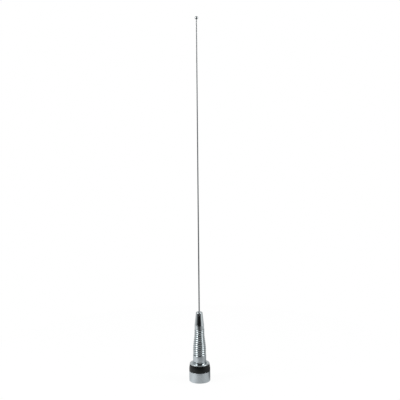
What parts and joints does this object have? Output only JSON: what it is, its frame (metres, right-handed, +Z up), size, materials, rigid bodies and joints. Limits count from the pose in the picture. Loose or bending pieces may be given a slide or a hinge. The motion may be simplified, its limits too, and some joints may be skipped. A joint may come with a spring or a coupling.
{
  "type": "mobile radio antenna",
  "caption": "Vehicle whip antenna: tapered steel whip in a conical ferrule on a close-wound conical shock spring, over a chromed screw-on base with a black insulating ring and a sprung contact",
  "frame": {"origin": "centre of the base gasket's sealing face", "axes": "+Z up along the whip; the front set screw and a flat of the wrench hexagon face -Y"},
  "size_m": [0.0364, 0.0364, 0.642],
  "materials": {
    "satin_chrome": "satin",
    "chrome": "polished",
    "stainless_steel": "ground",
    "brass": "machined",
    "copper": "bare copper",
    "tinned_copper": "tinned",
    "black_rubber": "matte",
    "black_plastic": "satin gloss",
    "white_plastic": "matte",
    "board_laminate": "matte",
    "capacitor_body": "matte"
  },
  "bodies": {
    "base": {"skirt": "satin_chrome", "base_gasket": "black_rubber", "thread_ring": "brass", "coil_housing": "black_plastic", "top_cap": "chrome", "cap_o_ring": "black_rubber", "base_stud": "stainless_steel", "stud_nut": "brass", "stud_lug": "tinned_copper", "matching_board": "board_laminate", "coil_former": "white_plastic", "series_coil": "copper", "shunt_coil": "copper", "chip_capacitor": "capacitor_body", "contact_bushing": "brass", "contact_spring": "stainless_steel", "lower_ferrule": "chrome", "bond_sleeve_lower": "tinned_copper"},
    "contact": {"contact_plunger": "brass"},
    "spring": {"shock_spring": "chrome", "bond_braid": "copper"},
    "whip": {"upper_ferrule": "chrome", "set_screw_front": "stainless_steel", "set_screw_rear": "stainless_steel", "bond_sleeve_upper": "tinned_copper", "whip_rod": "stainless_steel", "tip_ball": "stainless_steel"}
  },
  "joints": [
    {"name": "whip_sway_fore_aft", "type": "hinge", "parent": "base", "child": "spring", "pos_m": [0, 0, 0.064], "axis": [1, 0, 0], "range_deg": [-45, 45], "stiffness_Nm_per_rad": 2, "deforming": ["shock_spring", "bond_braid"]},
    {"name": "whip_sway_side", "type": "hinge", "parent": "spring", "child": "whip", "pos_m": [0, 0, 0.07795], "axis": [0, 1, 0], "range_deg": [-45, 45], "stiffness_Nm_per_rad": 2, "deforming": ["shock_spring", "bond_braid"]},
    {"name": "contact_plunge", "type": "slide", "parent": "base", "child": "contact", "axis": [0, 0, 1], "range_m": [0, 0.002], "stiffness_N_per_m": 400, "springref_m": -0.004, "deforming": ["contact_spring"]}
  ]
}
